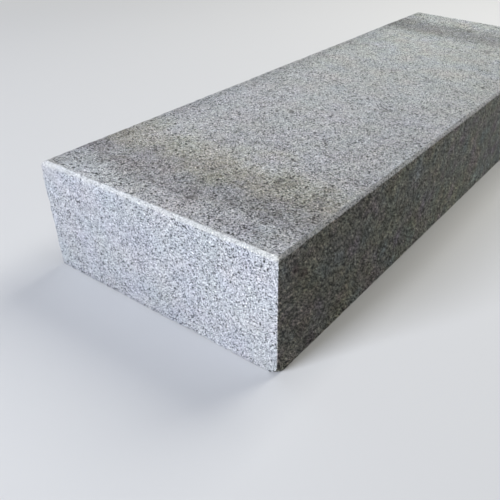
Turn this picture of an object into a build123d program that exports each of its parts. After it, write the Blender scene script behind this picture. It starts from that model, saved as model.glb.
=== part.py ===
"""Granite kerb stone: one sawn block, laid flat, with its four top edges arrised.

Frame: millimetres, +Z up. The origin is the middle of the sawn bed that the stone rests on.
+Y runs along the stone and +X across it, from the kerb face to the back.
"""
from build123d import *
import os

# Driving dimensions
LENGTH = 1000.0  # along Y, end to end
WIDTH = 350.0  # along X, kerb face to back
HEIGHT = 150.0  # bed to textured top
FACE_ARRIS = 9.0  # each leg of the arris between the top and the kerb face, which takes the wheels
BACK_ARRIS = 4.0  # each leg of the arris between the top and the back
END_ARRIS = 3.5  # each leg of the arris between the top and each sawn end


def arrised_outline(span, height, low_side_arris, high_side_arris):
    """The outline of a slab of this span, centred on its bed, with its two top corners cut at 45 degrees."""
    half = span / 2
    return Polyline(
        (-half, 0),
        (half, 0),
        (half, height - high_side_arris),
        (half - high_side_arris, height),
        (low_side_arris - half, height),
        (-half, height - low_side_arris),
        close=True,
    )


def cross_section():
    """The stone's section across its length: kerb face on the left, back on the right."""
    outline = arrised_outline(WIDTH, HEIGHT, FACE_ARRIS, BACK_ARRIS)
    return Plane.XZ * make_face(outline)


def side_elevation():
    """The stone seen from its back: both ends carry the same small arris."""
    outline = arrised_outline(LENGTH, HEIGHT, END_ARRIS, END_ARRIS)
    return Plane.YZ * make_face(outline)


def kerb_stone():
    """The block, where the sawn section and the elevation meet, so that the arrises mitre at the corners."""
    sawn_length = extrude(cross_section(), amount=LENGTH / 2, both=True)
    sawn_ends = extrude(side_elevation(), amount=WIDTH / 2, both=True)
    stone = sawn_length & sawn_ends
    stone.label = "kerb_stone"
    return stone


os.makedirs("parts", exist_ok=True)
export_step(kerb_stone(), "parts/kerb_stone.step")
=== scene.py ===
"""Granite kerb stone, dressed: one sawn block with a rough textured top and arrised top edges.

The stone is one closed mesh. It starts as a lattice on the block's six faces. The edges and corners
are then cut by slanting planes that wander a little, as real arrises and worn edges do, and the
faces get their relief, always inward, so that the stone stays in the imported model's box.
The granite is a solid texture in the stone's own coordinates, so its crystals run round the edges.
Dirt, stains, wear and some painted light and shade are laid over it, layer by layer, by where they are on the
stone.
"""
import math

import bpy
import numpy as np
from mathutils import Matrix, Vector


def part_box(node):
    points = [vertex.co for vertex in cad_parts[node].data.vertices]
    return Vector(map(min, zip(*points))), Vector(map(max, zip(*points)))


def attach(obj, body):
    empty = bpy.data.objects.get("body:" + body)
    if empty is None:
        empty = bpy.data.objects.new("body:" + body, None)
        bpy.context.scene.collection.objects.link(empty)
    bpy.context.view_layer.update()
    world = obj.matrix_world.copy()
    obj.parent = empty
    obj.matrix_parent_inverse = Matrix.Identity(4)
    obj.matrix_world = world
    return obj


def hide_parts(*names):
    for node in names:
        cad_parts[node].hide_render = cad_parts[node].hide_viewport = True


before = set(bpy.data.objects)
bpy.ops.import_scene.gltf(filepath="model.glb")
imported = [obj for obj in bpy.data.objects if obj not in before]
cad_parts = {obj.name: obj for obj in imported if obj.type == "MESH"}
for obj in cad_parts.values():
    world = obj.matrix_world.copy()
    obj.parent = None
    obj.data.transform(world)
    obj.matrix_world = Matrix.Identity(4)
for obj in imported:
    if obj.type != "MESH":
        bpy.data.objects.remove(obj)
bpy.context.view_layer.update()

MM = 0.001  # one millimetre in metres

# Camera: its place, the point of the top's plane that its axis meets, its roll, lens and shift
CAMERA_PLACE = (0.4471, -0.8777, 0.4655)
CAMERA_AIM = (0.2008, -0.5103, 0.150)
CAMERA_ROLL = -1.93  # degrees about the axis
CAMERA_LENS = 44.1  # mm
CAMERA_SENSOR = 36  # mm
CAMERA_SHIFT = (-0.0908, 0.0485)
CAMERA_RANGE = (0.01, 60)  # nearest and farthest distance that it shows, in metres

# Floor and world
BACKDROP = (0.72, 0.72, 0.71)  # what is seen round the stone, floor and background alike
FLOOR_BOUNCE = (0.11, 0.11, 0.105)  # the floor's colour for the light that it sends up at the stone
WORLD_LIGHT = (0.095, 0.094, 0.088)  # the world's soft light on the stone
FLOOR_HALF = 9.0  # half the floor's side in metres
FLOOR_FADE = (1.2, 2.6)  # distances in metres between which the lit floor turns into plain backdrop

# Arrises and worn edges, as the length of each leg in mm
FACE_ARRIS = 9.0  # between the top and the kerb face, which is -X
ROUNDING = 0.67  # two more cuts round that arris: the short leg of each is this share of the arris's
BACK_ARRIS = 4.0  # between the top and the back, which is +X
END_ARRIS = (2.6, 4.6)  # between the top and each end: on the top and down the end, at mid-width
END_ARRIS_WIDENS = 0.0045  # what the leg on the top gains for each mm toward the back
END_ARRIS_DROPS = 0.01  # what the leg down the end gains for each mm that X is below the next value
END_ARRIS_DROPS_FROM = -50  # in mm
WORN_EDGE = 0.6  # every other edge
WORN_CORNER = 2.2  # every bottom corner, measured along each of its edges
BROKEN_CORNER = (  # the near end's bottom corner on the back is knocked off: slant and leg of each facet
    ((1, -0.8, -2.7), 12.0),
    ((1, -1, -0.78), 8.0),
    ((1, -1, -0.36), 4.4),
)

# How much of the roughness an edge's leg takes, where it isn't all of it
BACK_WANDER = 0.8
END_WANDER = 0.6
UPRIGHT_WANDER = 2.0
FOOT_WANDER = 1.3
LEAST_WEAR = -0.3  # in mm: the roughness of the worn edges never falls below it

# Lattice spacing in mm, and the finer places near the edges, measured from each edge
TOP_STEP_X = 2.6
TOP_STEP_Y = 2.65
SIDE_STEP_Z = 4.9
FACE_PLACES = (0, 1.8, 3.6, 5.4, 7.2, 9.0)
BACK_PLACES = (0, 1.3, 2.7, 4.0)
END_PLACES = (0, 1.3, 2.6, 3.9)
BED_PLACES = (0, 1, 2.5, 4.5, 7)
TOP_PLACES = (0, 1.3, 2.6, 3.9, 5.2, 9.0)
BED_RING = 4  # lattice cells of the bed's border, inside which the bed is one flat face

# Depth of the relief in mm, all of it inward
TOP_RELIEF = 1.7
SAWN_RELIEF = 0.4

# Spots on the stone: X, Y, Z and radius in mm, and how strong from 0 to 1
SMUDGES = (
    (77, 295, 149, 13, 0.45),
    (-8, 178, 149, 10, 0.35),
    (63, 65, 149, 14, 0.32),
    (73, -97, 149, 9, 0.45),
    (82, -369, 149, 7, 0.6),
    (-31, -188, 149, 6.5, 0.7),
    (29, -461, 149, 6, 0.7),
    (175, -438, 64, 7, 0.4),
    (175, -473, 131, 6.5, 0.7),
    (175, -346, 130, 8, 0.6),
    (175, -201, 49, 9, 0.55),
    (175, -150, 70, 9, 0.35),
)
RUST_STAINS = (
    (175, -473, 121, 9.0, 0.5),
    (175, -457, 109, 10.0, 0.5),
)
RUST_PITS = (
    (175, -472.3, 121, 3.0, 1.0),
    (175, -459.3, 109.4, 3.4, 0.95),
)
SCUFFS = (
    (-131, -500, 119, 4.5, 0.7),
    (-144, -500, 130, 3.5, 0.5),
)

# Places that the shades of the stone are measured by, in mm
STONE_WIDTH = 350
NEAR_END_Y = -494  # what lies before it, and isn't the top, is the near end


def unit_hash(cells, salt):
    """A number from 0 to 1 for each integer cell, the same on every run."""
    x, y, z = (cells[:, i].astype(np.int64).astype(np.uint32) for i in range(3))
    h = x * np.uint32(73856093) ^ y * np.uint32(19349663) ^ z * np.uint32(83492791)
    h = (h ^ np.uint32(salt * 2654435761 % 2**32)) * np.uint32(2246822519)
    h = (h ^ (h >> np.uint32(15))) * np.uint32(3266489917)
    h = h ^ (h >> np.uint32(13))
    return h.astype(float) / 2**32


def value_noise(points, size, salt):
    """Smooth noise from -1 to 1 whose lumps are about size across."""
    scaled = points / size
    base = np.floor(scaled)
    t = scaled - base
    t = t * t * (3 - 2 * t)
    total = np.zeros(len(points))
    for corner in np.ndindex(2, 2, 2):
        weight = np.prod(np.where(corner, t, 1 - t), axis=1)
        total += weight * unit_hash(base + corner, salt)
    return 2 * total - 1


def crystal_noise(points, size, salt):
    """For each point, its nearest crystal's random height, 0 to 1, and random slope times the way to it."""
    scaled = points / size
    base = np.floor(scaled)
    nearest = np.full(len(points), np.inf)
    height = np.zeros(len(points))
    slope = np.zeros(len(points))
    for shift in np.ndindex(3, 3, 3):
        cell = base + shift - 1
        seeds = [unit_hash(cell, salt + k) for k in range(3)]
        way = scaled - cell - np.stack(seeds, axis=1)
        distance = np.sum(way * way, axis=1)
        closer = distance < nearest
        nearest = np.where(closer, distance, nearest)
        height = np.where(closer, unit_hash(cell, salt + 3), height)
        tilt = np.stack([unit_hash(cell, salt + 4 + k) - 0.5 for k in range(3)], axis=1)
        slope = np.where(closer, np.sum(tilt * way, axis=1), slope)
    return height, slope


def ramp(x, low, high):
    """0 below low, 1 above high, and a smooth rise between."""
    t = np.clip((x - low) / (high - low), 0, 1)
    return t * t * (3 - 2 * t)


def lattice_line(low, high, low_places, high_places, step):
    """Places from low to high in even steps, with the given finer places measured from each end."""
    inner_low = low + low_places[-1]
    inner_high = high - high_places[-1]
    count = round((inner_high - inner_low) / step)
    middle = np.linspace(inner_low, inner_high, count + 1)
    start = [low + place for place in low_places[:-1]]
    end = [high - place for place in reversed(high_places[:-1])]
    return np.array([*start, *middle, *end])


def stone_lattice(low, high):
    """The block's skin in mm: points on a lattice, the quads between them, and the bed's inner outline."""
    xs = lattice_line(low[0], high[0], FACE_PLACES, BACK_PLACES, TOP_STEP_X)
    ys = lattice_line(low[1], high[1], END_PLACES, END_PLACES, TOP_STEP_Y)
    zs = lattice_line(low[2], high[2], BED_PLACES, TOP_PLACES, SIDE_STEP_Z)
    nx, ny, nz = len(xs) - 1, len(ys) - 1, len(zs) - 1
    number = {}
    points = []
    quads = []

    def corner(i, j, k):
        key = (i, j, k)
        if key not in number:
            number[key] = len(points)
            points.append((xs[i], ys[j], zs[k]))
        return number[key]

    def add_quad(*corners):
        quads.append([corner(*key) for key in corners])

    for i in range(nx):
        for j in range(ny):
            add_quad((i, j, nz), (i + 1, j, nz), (i + 1, j + 1, nz), (i, j + 1, nz))
    for k in range(nz):
        for i in range(nx):
            add_quad((i, 0, k), (i + 1, 0, k), (i + 1, 0, k + 1), (i, 0, k + 1))
            add_quad((i, ny, k), (i, ny, k + 1), (i + 1, ny, k + 1), (i + 1, ny, k))
        for j in range(ny):
            add_quad((0, j, k), (0, j, k + 1), (0, j + 1, k + 1), (0, j + 1, k))
            add_quad((nx, j, k), (nx, j + 1, k), (nx, j + 1, k + 1), (nx, j, k + 1))
    for i in range(nx):
        for j in range(ny):
            if min(i, nx - 1 - i, j, ny - 1 - j) < BED_RING:
                add_quad((i, j, 0), (i, j + 1, 0), (i + 1, j + 1, 0), (i + 1, j, 0))
    first, last_x, last_y = BED_RING, nx - BED_RING, ny - BED_RING
    bed = [number[first, j, 0] for j in range(first, last_y)]
    bed += [number[i, last_y, 0] for i in range(first, last_x)]
    bed += [number[last_x, j, 0] for j in range(last_y, first, -1)]
    bed += [number[i, first, 0] for i in range(last_x, first, -1)]
    return np.array(points), quads, bed


def beyond(points, low, high, slant, leg):
    """How far points lie beyond a plane that cuts off an edge or corner, times the length of slant.

    slant is square to the plane and points at the edge or corner. leg is how far from it the plane
    meets an axis for which slant is 1 or -1. Both may be one for all points or differ from point to
    point.
    """
    slant = np.array(slant, float)
    meet = np.where(slant > 0, high, np.where(slant < 0, low, 0.0))
    return np.sum((points - meet) * slant, axis=1) + leg


def cut(points, low, high, slant, leg):
    """Moves the points that lie beyond the plane onto it."""
    slant = np.array(slant, float)
    depth = np.maximum(beyond(points, low, high, slant, leg), 0)
    points -= slant * (depth / np.sum(slant * slant, axis=-1))[:, None]


def edge_roughness(points):
    """How many mm the edges wander from true, with a bite here and there."""
    wander = value_noise(points, size=61, salt=14) * 0.4
    wander += value_noise(points, size=23, salt=11) * 0.25
    wander += value_noise(points, size=5.5, salt=12) * 0.55
    bites = np.maximum(value_noise(points, size=9, salt=13) - 0.45, 0) * 3.2
    return wander + bites


def end_arris_legs(points):
    """The end arris was dressed by hand: broader on the top toward the back, lower toward the kerb face."""
    x = points[:, 0]
    on_top = END_ARRIS[0] + END_ARRIS_WIDENS * x
    down = END_ARRIS[1] + END_ARRIS_DROPS * np.maximum(END_ARRIS_DROPS_FROM - x, 0)
    return on_top, down


def wear_edges(points, low, high, rough):
    """Cuts the arrises of the top, eases the other edges and knocks the corners off."""
    cut(points, low, high, (-1, 0, 1), FACE_ARRIS + rough)
    cut(points, low, high, (-0.5, 0, 1), FACE_ARRIS * ROUNDING + rough)
    cut(points, low, high, (-1, 0, 0.5), FACE_ARRIS * ROUNDING + rough)
    cut(points, low, high, (1, 0, 1), BACK_ARRIS + rough * BACK_WANDER)
    on_top, down = end_arris_legs(points)
    for y in (-1, 1):
        slant = np.stack([np.zeros(len(points)), np.full(len(points), y), on_top / down], axis=1)
        cut(points, low, high, slant, on_top + rough * END_WANDER)
    wear = np.maximum(rough, LEAST_WEAR)
    for x in (-1, 1):
        for y in (-1, 1):
            cut(points, low, high, (x, y, 0), WORN_EDGE + wear * UPRIGHT_WANDER)
    for x, y in ((-1, 0), (1, 0), (0, -1), (0, 1)):
        cut(points, low, high, (x, y, -1), WORN_EDGE + wear * FOOT_WANDER)
    for x in (-1, 1):
        for y in (-1, 1):
            cut(points, low, high, (x, y, -1), WORN_CORNER + rough)
    for slant, leg in BROKEN_CORNER:
        cut(points, low, high, slant, leg + rough)


def face_masks(points, low, high, rough):
    """How far each point of the uncut lattice belongs to a part of the surface, from 0 to 1.

    The parts have soft borders, a millimetre or a few across, that wander with the edges.
    """
    to_face = points[:, 0] - low[0]
    to_back = high[0] - points[:, 0]
    to_end = np.minimum(points[:, 1] - low[1], high[1] - points[:, 1])
    to_top = high[2] - points[:, 2]
    end_on_top, end_down = end_arris_legs(points)
    inside = np.minimum.reduce([to_face - FACE_ARRIS, to_back - BACK_ARRIS, to_end - end_on_top]) - rough
    on_top = to_top < 0.01
    on_back = np.clip(np.minimum(1 - to_back / 1.3, (to_top - BACK_ARRIS - rough) / 1.3 + 0.5), 0, 1)
    facets = [beyond(points, low, high, slant, leg + rough) for slant, leg in BROKEN_CORNER]
    broken = np.maximum.reduce(facets)
    return {
        "top": ramp(inside, -0.6, 0.1) * on_top,
        "relief": ramp(inside, -0.5, 4) * on_top,
        "end_arris": 1 - ramp(to_end / end_on_top + to_top / end_down - 0.25 * rough, 0.85, 1.15),
        "face_arris": 1 - ramp(to_face + to_top - rough, FACE_ARRIS - 1, FACE_ARRIS + 3),
        "back_arris": 1 - ramp(to_back + to_top - rough, BACK_ARRIS - 0.6, BACK_ARRIS + 0.2),
        "back": np.maximum(on_back, ramp(broken, -0.6, 0.8)),
    }


def top_relief(points):
    """Depth of the rough top, about 0 to 1: long swells, spalled flakes and single crystals."""
    swell = value_noise(points, size=130, salt=21) * 0.13 + value_noise(points, size=42, salt=22) * 0.10
    flake_height, flake_slope = crystal_noise(points, size=10, salt=31)
    grain_height, grain_slope = crystal_noise(points, size=3.6, salt=41)
    depth = 0.25 + swell + 0.13 * flake_height + 0.18 * flake_slope
    depth += 0.48 * grain_height + 0.35 * grain_slope
    return np.clip(depth, 0, None)


def sawn_relief(points):
    """Depth of the sawn faces, from 0 to 1: a faint wave and shallow pits where crystals broke out."""
    wave = 0.5 + 0.5 * value_noise(points, size=70, salt=51)
    pit_height, _ = crystal_noise(points, size=5.0, salt=61)
    return 0.3 * wave + 0.7 * ramp(pit_height, 0.72, 1.0)


def build_stone(name):
    """The dressed stone as one closed mesh in metres, with its masks as attributes."""
    low, high = (np.array(corner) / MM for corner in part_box("kerb_stone"))
    points, quads, bed = stone_lattice(low, high)
    rough = edge_roughness(points)
    masks = face_masks(points, low, high, rough)
    wear_edges(points, low, high, rough)
    mesh = bpy.data.meshes.new(name)
    mesh.from_pydata((points * MM).tolist(), [], quads + [bed])
    mesh.update()
    normals = np.empty(len(points) * 3)
    mesh.vertex_normals.foreach_get("vector", normals)
    normals = normals.reshape(-1, 3)
    relief = masks.pop("relief")
    depth = relief * TOP_RELIEF * top_relief(points) + (1 - relief) * SAWN_RELIEF * sawn_relief(points)
    depth *= ramp(points[:, 2] - low[2], 0.1, 1.0)  # none on the bed, which stays flat
    masks["depth"] = depth
    points -= normals * depth[:, None]
    points = np.clip(points, low, high)
    mesh.vertices.foreach_set("co", (points * MM).ravel())
    for label, values in masks.items():
        layer = mesh.attributes.new(label, "FLOAT", "POINT")
        layer.data.foreach_set("value", values)
    mesh.polygons.foreach_set("use_smooth", [True] * len(quads) + [False])
    mesh.update()
    stone = bpy.data.objects.new(name, mesh)
    bpy.context.scene.collection.objects.link(stone)
    return stone


class Nodes:
    """A short way to write a node tree. A value may be a number, a vector, a colour or a socket."""

    def __init__(self, tree):
        self.tree = tree
        tree.nodes.clear()

    def feed(self, socket, value):
        if isinstance(value, bpy.types.NodeSocket):
            self.tree.links.new(value, socket)
        elif socket.type == "RGBA":
            socket.default_value = (*value, 1)
        else:
            socket.default_value = value

    def add(self, kind, inputs=(), **settings):
        node = self.tree.nodes.new(kind)
        for key, value in settings.items():
            setattr(node, key, value)
        for key, value in dict(inputs).items():
            self.feed(node.inputs[key], value)
        return node

    def math(self, operation, a, b=0.0, c=0.0):
        return self.add("ShaderNodeMath", {0: a, 1: b, 2: c}, operation=operation).outputs[0]

    def vector(self, operation, a, b=(0, 0, 0)):
        """Vector maths. The result is a number for a distance, a length or a dot product."""
        node = self.add("ShaderNodeVectorMath", {0: a, 1: b}, operation=operation)
        return node.outputs["Value" if operation in ("DISTANCE", "LENGTH", "DOT_PRODUCT") else "Vector"]

    def ramp(self, fac, stops):
        """Colours between stops. A stop is a place and a colour or a grey."""
        node = self.add("ShaderNodeValToRGB", {"Fac": fac})
        elements = node.color_ramp.elements
        while len(elements) < len(stops):
            elements.new(0.5)
        for element, (place, colour) in zip(elements, stops):
            element.position = place
            element.color = (*colour, 1) if isinstance(colour, tuple) else (colour, colour, colour, 1)
        return node.outputs["Color"]

    def between(self, value, low, high):
        """0 up to low, 1 from high on, and a smooth change between. low may be the larger one."""
        node = self.add("ShaderNodeMapRange", {"Value": value, "From Min": low, "From Max": high},
                        interpolation_type="SMOOTHSTEP")
        return node.outputs["Result"]

    def mix(self, fac, a, b, **settings):
        """The colour a where fac is 0, and b where it is 1."""
        return self.add("ShaderNodeMix", {0: fac, 6: a, 7: b}, data_type="RGBA", **settings).outputs[2]

    def times(self, *colours):
        """The product of colours."""
        product = colours[0]
        for colour in colours[1:]:
            product = self.mix(1.0, product, colour, blend_type="MULTIPLY")
        return product

    def tint(self, base, amount, colour):
        """The base, multiplied by colour as far as amount says, from 0 to 1."""
        return self.mix(amount, base, self.times(base, colour))

    def both(self, *amounts):
        """The product of amounts."""
        product = amounts[0]
        for amount in amounts[1:]:
            product = self.math("MULTIPLY", product, amount)
        return product

    def without(self, amount):
        return self.math("SUBTRACT", 1.0, amount)

    def numbers(self, colour):
        """A colour's three numbers."""
        return self.add("ShaderNodeSeparateColor", {"Color": colour}).outputs

    def backdrop_rays(self):
        """1 for the rays that see the backdrop: from the camera, in gloss and through glass."""
        path = self.add("ShaderNodeLightPath").outputs
        seen = self.math("MAXIMUM", path["Is Camera Ray"], path["Is Glossy Ray"])
        return self.math("MAXIMUM", seen, path["Is Transmission Ray"])


class StoneNodes(Nodes):
    """The stone's node tree, with the places and masks that its layers share.

    x, y and z are places on the stone in metres. A mask is an amount from 0 to 1.
    """

    def __init__(self, tree):
        super().__init__(tree)
        self.place = self.add("ShaderNodeTexCoord").outputs["Object"]
        axis = self.add("ShaderNodeSeparateXYZ", {"Vector": self.place}).outputs
        self.x, self.y, self.z = axis["X"], axis["Y"], axis["Z"]
        self.warped = self.warped_place()
        self.top = self.mask("top")
        self.end_arris = self.mask("end_arris")
        self.long_arris = self.math("MAXIMUM", self.mask("face_arris"), self.mask("back_arris"))
        fraying = self.math("MULTIPLY_ADD", self.noise(700.0, 1.0), 1.6, -0.8)
        self.back = self.between(self.math("ADD", self.mask("back"), fraying), 0.35, 0.65)
        # the kerb face and both ends are rubbed beside the kerb face's arris
        by_arris = self.both(self.between(self.x, -0.12, -0.15), self.between(self.z, 0.11, 0.13))
        self.rubbed = self.both(by_arris, self.without(self.top))

    def warped_place(self):
        """The place, moved a little at random, which makes the crystals' borders ragged."""
        random = self.add("ShaderNodeTexNoise", {"Vector": self.place, "Scale": 1000.0, "Detail": 1.0})
        step = self.vector("SUBTRACT", random.outputs["Color"], (0.5, 0.5, 0.5))
        step = self.add("ShaderNodeVectorMath", {0: step, "Scale": 1.6 * MM}, operation="SCALE")
        return self.vector("ADD", self.place, step.outputs["Vector"])

    def mask(self, label):
        """One of the masks that the mesh carries."""
        return self.add("ShaderNodeAttribute", attribute_name=label).outputs["Fac"]

    def noise(self, scale, detail=2.0, roughness=0.5, vector=None):
        """Noise from 0 to 1 with scale lumps to the metre."""
        settings = {"Scale": scale, "Detail": detail, "Roughness": roughness, "Vector": vector or self.place}
        return self.add("ShaderNodeTexNoise", settings).outputs["Fac"]

    def crystals(self, size, top_size):
        """Crystals of size mm, or top_size mm on the top: three random numbers for each, and a height.

        The height is that of the crystal's tilted, broken face, in mm.
        """
        fineness = 1 / (size * MM)
        scale = self.math("MULTIPLY_ADD", self.top, 1 / (top_size * MM) - fineness, fineness)
        node = self.add("ShaderNodeTexVoronoi", {"Vector": self.warped, "Scale": scale})
        tilt = self.vector("SUBTRACT", node.outputs["Color"], (0.5, 0.5, 0.5))
        way = self.vector("SUBTRACT", self.warped, node.outputs["Position"])
        facet = self.math("MULTIPLY", self.vector("DOT_PRODUCT", tilt, way), 1 / MM)
        return self.numbers(node.outputs["Color"]), facet

    def blots(self, vector, size, chance, fade):
        """Round blots, one to a cell of a size in mm.

        chance is where a cell's random number starts to give it a blot and where the blot is full.
        fade is where the blot ends and where it is full, as distances from its middle in cells.
        """
        cell = self.add("ShaderNodeTexVoronoi", {"Vector": vector, "Scale": 1 / (size * MM)}).outputs
        picked = self.between(self.numbers(cell["Color"])[0], *chance)
        return self.both(picked, self.between(cell["Distance"], *fade))

    def spots(self, base, places, colour, core=0.3):
        """Spots of a colour, each at its own place on the stone, that fade outside a core."""
        for x, y, z, radius, strength in places:
            gap = self.vector("DISTANCE", self.warped, (x * MM, y * MM, z * MM))
            near = self.between(gap, radius * MM, core * radius * MM)
            base = self.mix(self.both(near, strength), base, colour)
        return base


def clean_granite(n, coarse, fine, flakes):
    """Grey feldspar and quartz in two sizes of crystal, with black mica in loose clusters."""
    tone = n.ramp(coarse[0], [
        (0.0, (0.12, 0.126, 0.14)),
        (0.15, (0.25, 0.258, 0.275)),
        (0.3, (0.46, 0.468, 0.48)),
        (0.8, (0.60, 0.605, 0.61)),
        (1.0, (0.82, 0.82, 0.81)),
    ])
    fine_tone = n.ramp(fine[1], [
        (0.0, (0.15, 0.156, 0.17)),
        (0.3, (0.42, 0.428, 0.44)),
        (0.7, (0.58, 0.584, 0.59)),
        (1.0, (0.80, 0.80, 0.80)),
    ])
    base = n.mix(n.between(coarse[2], 0.3, 0.7), tone, fine_tone)
    clusters = n.between(n.noise(140.0), 0.35, 0.65)
    mica = n.math("GREATER_THAN", flakes[0], n.math("MULTIPLY_ADD", clusters, -0.04, 0.985))
    flecks = n.math("GREATER_THAN", fine[0], n.math("MULTIPLY_ADD", clusters, -0.06, 0.92))
    black = n.both(n.math("MAXIMUM", mica, flecks), n.without(n.both(n.end_arris, 0.3)))
    return n.mix(n.both(black, 0.88), base, (0.05, 0.051, 0.057))


def dirt_and_shade_on_top(n, base, pits):
    """Dirt in the top's hollows, painted shade in its pits, and darker bands across its near and far ends.

    The near end's band is brown-grey, with an ochre stain behind it. The result is the colour and the amount
    of the near band.
    """
    hollows = n.both(n.between(n.mask("depth"), 0.5, 1.6), n.top)
    base = n.tint(base, n.both(hollows, 0.25), (0.46, 0.44, 0.40))
    # painted shade: the pits are darkened
    base = n.tint(base, n.both(pits, 0.85), (0.36, 0.355, 0.34))
    blotch = n.math("MULTIPLY_ADD", n.noise(28.0, 4.0, 0.65), 0.16, -0.08)
    along = n.math("ADD", n.y, blotch)
    patchy = n.ramp(n.noise(260.0, 3.0, 0.7), [(0.35, 0.55), (0.62, 1.0)])
    # a darker brown-grey band across the top's near end
    near_band = n.both(n.between(along, -0.482, -0.444), n.between(along, -0.335, -0.42), n.top, patchy)
    base = n.tint(base, n.both(near_band, 0.67), (0.66, 0.64, 0.63))
    ochre = n.both(n.between(along, -0.44, -0.38), n.between(along, -0.29, -0.375), n.top, patchy)
    base = n.tint(base, n.both(ochre, 0.7), (0.99, 0.97, 0.86))
    straighter = n.math("MULTIPLY_ADD", blotch, -0.6, along)
    # a darker band across the top's far end
    band = n.both(n.between(straighter, 0.305, 0.36), n.between(along, 0.45, 0.41), n.top)
    base = n.tint(base, n.both(band, 0.6), (0.61, 0.61, 0.615))
    return base, near_band


def crystal_contrast(n, base, near_band):
    """Draws the crystals' tones apart, more on the rough top and its darker near band, on the long arrises
    and under the back's dirt, less where it is rubbed.
    """
    gains = ((n.top, 0.55), (near_band, 0.1), (n.long_arris, 0.4), (n.back, 1.3), (n.rubbed, -0.65))
    contrast = 1.5
    for amount, gain in gains:
        contrast = n.math("MULTIPLY_ADD", amount, gain, contrast)
    base = n.mix(contrast, (0.44, 0.44, 0.44), base, clamp_factor=False, clamp_result=True)
    return n.mix(0.05, base, (0.5, 0.5, 0.5))


def film_and_shade_on_back(n, base):
    """A film of dirt on the back, which half hides the crystals; the same darkening is laid over the broken
    corner.

    It has leaning streaks, clouds, patches and dark pocks. Painted shade darkens it toward the near end, and
    painted light makes it a little paler along the foot; it is a little paler along the near edge too.
    """
    lean = {"Vector": n.warped, "Rotation": (-0.68, 0, 0), "Scale": (1, 2.0, 1)}
    leaning = n.add("ShaderNodeMapping", lean, vector_type="TEXTURE").outputs["Vector"]
    streaks = n.ramp(n.noise(335.0, 3.0, 0.75, leaning), [(0.36, 0.0), (0.5, 0.98), (0.68, 1.95)])
    clouds = n.ramp(n.noise(130.0, 3.0, 0.7, leaning), [(0.3, 0.55), (0.7, 1.45)])
    patches = n.ramp(n.noise(36.0, 3.0, 0.6), [(0.3, 0.82), (0.7, 1.18)])
    # painted light: paler along the foot
    foot = n.ramp(n.between(n.z, 0.0, 0.06), [(0.0, 1.17), (1.0, 1.0)])
    near_edge = n.ramp(n.between(n.y, -0.5, -0.47), [(0.0, 1.08), (1.0, 1.0)])
    film = n.times(base, streaks, clouds, patches, foot, near_edge)
    film = n.mix(n.both(n.between(n.y, -0.35, 0.1), 0.35), film, (0.41, 0.41, 0.41))
    pocks = n.blots(leaning, 7.0, chance=(0.48, 0.82), fade=(0.34, 0.16))
    film = n.tint(film, n.both(pocks, 0.8), (0.3, 0.3, 0.32))
    # the film's tone, with painted shade that darkens it toward the near end
    film_tone_and_shade = n.ramp(n.between(n.y, -0.55, 0.15), [
        (0.0, (0.59, 0.565, 0.505)),
        (1.0, (0.90, 0.917, 0.855)),
    ])
    return n.mix(n.back, base, n.times(film, film_tone_and_shade))


def shade_near_end(n, base):
    """Painted light and shade on the near end: a little paler toward the back and darker toward the bed; it
    is also paler where it is rubbed.
    """
    near_end = n.both(n.math("LESS_THAN", n.y, NEAR_END_Y * MM), n.without(n.top))
    # painted light: paler toward the back
    paler = n.ramp(n.between(n.x, -0.03, 0.19), [(0.0, (0.90, 0.904, 0.902)), (1.0, (1.06, 1.06, 1.04))])
    # painted shade: darker toward the bed, most at the lower left
    lower_half = n.both(n.between(n.z, 0.075, 0.005), 0.10)
    foot = n.both(n.between(n.z, 0.007, 0.003), 0.12)
    darker = n.both(n.math("ADD", lower_half, foot), n.math("MULTIPLY_ADD", n.x, -1.6, 0.9))
    shade = n.times(paler, n.math("MULTIPLY_ADD", n.rubbed, 0.08, n.without(darker)))
    return n.tint(base, near_end, shade)


def shade_top(n, base):
    """The top is darker toward both sides and the far end, and paler in a strip along the near end; its fall
    toward the back is painted shade.
    """
    # Painted shade darkens the top toward the back. It is also darker in a rim by the kerb face's arris.
    across = n.ramp(n.math("MULTIPLY_ADD", n.x, 1 / (STONE_WIDTH * MM), 0.5), [
        (0.03, 0.75),
        (0.10, 0.91),
        (0.13, 0.985),
        (0.22, 0.995),
        (0.40, 0.97),
        (0.90, 0.88),
        (1.00, 0.85),
    ])
    along = n.ramp(n.between(n.y, -0.45, 0.25), [(0.0, (1.0, 1.0, 1.0)), (1.0, (0.96, 0.975, 0.935))])
    near_strip = n.ramp(n.between(n.y, -0.497, -0.48), [(0.0, 1.08), (1.0, 1.0)])
    return n.tint(base, n.top, n.times(across, along, near_strip))


def mottle(n, base):
    """Broad mottling: faint all over, and stronger in hue on the top's far half and on the back."""
    tone = n.ramp(n.noise(9.0, 3.0), [(0.3, 0.96), (0.7, 1.04)])
    warmth = n.ramp(n.noise(24.0, 2.0), [(0.3, (0.987, 0.998, 1.03)), (0.7, (1.013, 1.002, 0.975))])
    lilac = n.ramp(n.noise(20.0, 2.0), [(0.3, (0.985, 1.01, 0.99)), (0.7, (1.015, 0.99, 1.01))])
    base = n.times(base, tone, warmth, lilac)
    ochre = n.ramp(n.noise(21.0, 3.0), [
        (0.3, (0.985, 0.99, 1.045)),
        (0.5, (1.0, 1.012, 0.98)),
        (0.7, (1.015, 0.995, 0.94)),
    ])
    base = n.tint(base, n.both(n.between(n.y, -0.15, 0.2), n.top), ochre)
    moss = n.ramp(n.noise(28.0, 2.0), [
        (0.3, (0.93, 1.02, 1.06)),
        (0.5, (1.0, 1.0, 0.94)),
        (0.7, (1.08, 0.97, 1.08)),
    ])
    brown = n.ramp(n.noise(17.0), [(0.35, (0.985, 1.0, 1.07)), (0.65, (1.02, 1.0, 0.91))])
    return n.tint(base, n.back, n.times(moss, brown))


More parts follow.
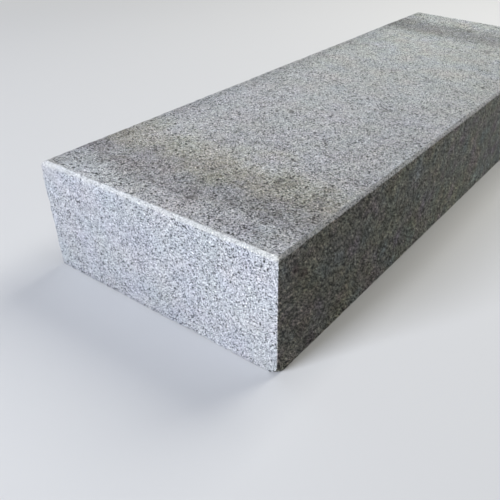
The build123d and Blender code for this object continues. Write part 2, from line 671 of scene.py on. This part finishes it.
def wear_on_arrises(n, base):
    """The end arrises are fresh and pale, the long ones dull with handling and darker toward the near end
    with painted shade.
    """
    fresh = n.mix(0.35, n.times(base, (1.08, 1.08, 1.06)), (0.75, 0.74, 0.70))
    fresh = n.times(fresh, n.ramp(n.between(n.x, -0.13, 0.11), [
        (0.0, (0.95, 0.945, 0.925)),
        (0.5, (1.0, 1.0, 0.985)),
        (1.0, (0.94, 0.935, 0.90)),
    ]))
    base = n.mix(n.end_arris, base, fresh)
    # painted shade darkens the long arrises toward the near end
    dull_and_shaded = n.ramp(n.between(n.y, -0.46, -0.40), [(0.0, (0.60, 0.60, 0.585)), (1.0, (0.83, 0.83, 0.81))])
    dull = n.mix(0.15, n.times(base, dull_and_shaded), (0.34, 0.34, 0.33))
    return n.mix(n.both(n.long_arris, n.without(n.both(n.end_arris, 0.9))), base, dull)


def granite_material(name):
    """Grey granite with its dirt, stains and wear, and some painted light and shade. Each layer works on the
    colour that lies under it.
    """
    material = bpy.data.materials.new(name)
    material.use_nodes = True
    n = StoneNodes(material.node_tree)
    coarse, coarse_facet = n.crystals(1.3, 1.3)
    fine, fine_facet = n.crystals(0.85, 0.75)
    flakes, _ = n.crystals(1.8, 1.9)
    pits = n.both(n.blots(n.warped, 4.4, chance=(0.72, 0.95), fade=(0.5, 0.2)), n.top)

    base = clean_granite(n, coarse, fine, flakes)
    base, near_band = dirt_and_shade_on_top(n, base, pits)
    base = crystal_contrast(n, base, near_band)
    base = film_and_shade_on_back(n, base)
    base = n.spots(base, SMUDGES, (0.075, 0.07, 0.072))
    base = n.spots(base, RUST_STAINS, (0.225, 0.165, 0.175))
    base = n.spots(base, RUST_PITS, (0.012, 0.006, 0.005), core=0.75)
    base = n.spots(base, SCUFFS, (0.78, 0.78, 0.79))
    base = shade_near_end(n, base)
    base = shade_top(n, base)
    base = mottle(n, base)
    base = wear_on_arrises(n, base)

    steps = n.math("MULTIPLY_ADD", fine[2], 0.3, n.both(coarse[2], 0.5))
    facets = n.math("MULTIPLY_ADD", coarse_facet, 1.5, fine_facet)
    height = n.math("SUBTRACT", n.math("ADD", steps, facets), pits)
    strength = n.math("MULTIPLY_ADD", n.top, 0.3, 0.2)
    bump = n.add("ShaderNodeBump", {"Height": height, "Strength": strength, "Distance": MM})

    rough = n.math("MULTIPLY_ADD", fine[1], 0.25, 0.62)
    shader = n.add("ShaderNodeBsdfPrincipled", {"Base Color": base, "Roughness": rough,
                                                "Normal": bump.outputs["Normal"], "Specular IOR Level": 0.35})
    n.add("ShaderNodeOutputMaterial", {"Surface": shader.outputs["BSDF"]})
    return material


def floor_material(name):
    """A plain pale floor that sends little light back up at the stone and fades into the backdrop."""
    material = bpy.data.materials.new(name)
    material.use_nodes = True
    n = Nodes(material.node_tree)
    colour = n.mix(n.backdrop_rays(), FLOOR_BOUNCE, BACKDROP)
    lit = n.add("ShaderNodeBsdfDiffuse", {"Color": colour})
    plain = n.add("ShaderNodeEmission", {"Color": BACKDROP})
    distance = n.vector("LENGTH", n.add("ShaderNodeTexCoord").outputs["Object"])
    path = n.add("ShaderNodeLightPath").outputs
    faded = n.both(n.between(distance, *FLOOR_FADE), path["Is Camera Ray"])
    blend = n.add("ShaderNodeMixShader", {0: faded, 1: lit.outputs[0], 2: plain.outputs[0]})
    n.add("ShaderNodeOutputMaterial", {"Surface": blend.outputs[0]})
    return material


def make_floor():
    """A square floor at the stone's bed."""
    mesh = bpy.data.meshes.new("floor")
    corners = [(x * FLOOR_HALF, y * FLOOR_HALF, 0) for x, y in ((-1, -1), (1, -1), (1, 1), (-1, 1))]
    mesh.from_pydata(corners, [], [(0, 1, 2, 3)])
    floor = bpy.data.objects.new("floor", mesh)
    bpy.context.scene.collection.objects.link(floor)
    floor.data.materials.append(floor_material("floor"))


def make_world():
    """A world that shows the backdrop and lights the stone softly."""
    world = bpy.data.worlds.new("studio")
    bpy.context.scene.world = world
    world.use_nodes = True
    n = Nodes(world.node_tree)
    colour = n.mix(n.backdrop_rays(), WORLD_LIGHT, BACKDROP)
    shader = n.add("ShaderNodeBackground", {"Color": colour, "Strength": 1.0})
    n.add("ShaderNodeOutputWorld", {"Surface": shader.outputs["Background"]})


def make_lamp(name, place, aim, size, watts, colour):
    """A square area lamp that faces its aim. Places and size are in metres."""
    lamp = bpy.data.lights.new(name, "AREA")
    lamp.shape = "SQUARE"
    lamp.size = size
    lamp.energy = watts
    lamp.color = colour
    holder = bpy.data.objects.new(name, lamp)
    holder.location = place
    holder.rotation_euler = (Vector(aim) - Vector(place)).to_track_quat("-Z", "Y").to_euler()
    bpy.context.scene.collection.objects.link(holder)


def make_camera():
    """The camera that took the photo, as fitted to the stone's edges."""
    camera = bpy.data.cameras.new("camera")
    camera.lens = CAMERA_LENS
    camera.sensor_width = CAMERA_SENSOR
    camera.shift_x, camera.shift_y = CAMERA_SHIFT
    camera.clip_start, camera.clip_end = CAMERA_RANGE
    holder = bpy.data.objects.new("camera", camera)
    look = (Vector(CAMERA_AIM) - Vector(CAMERA_PLACE)).to_track_quat("-Z", "Y").to_matrix()
    roll = Matrix.Rotation(math.radians(-CAMERA_ROLL), 3, "Z")
    holder.matrix_world = Matrix.Translation(CAMERA_PLACE) @ (look @ roll).to_4x4()
    bpy.context.scene.collection.objects.link(holder)
    bpy.context.scene.camera = holder


stone = build_stone("kerb_stone_dressed")
stone.data.materials.append(granite_material("granite_dressed"))
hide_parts("kerb_stone")
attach(stone, "root")

make_floor()
make_world()
make_lamp("key", place=(-1.2, -4.7, 1.95), aim=(0, -0.3, 0.1),
          size=2.0, watts=305.0, colour=(0.922, 0.975, 1.12))
make_lamp("overhead", place=(0.3, 1.7, 2.4), aim=(0, 0.4, 0),
          size=1.8, watts=62.0, colour=(1.0, 0.99, 0.96))
make_camera()
bpy.context.scene.view_settings.view_transform = "Standard"
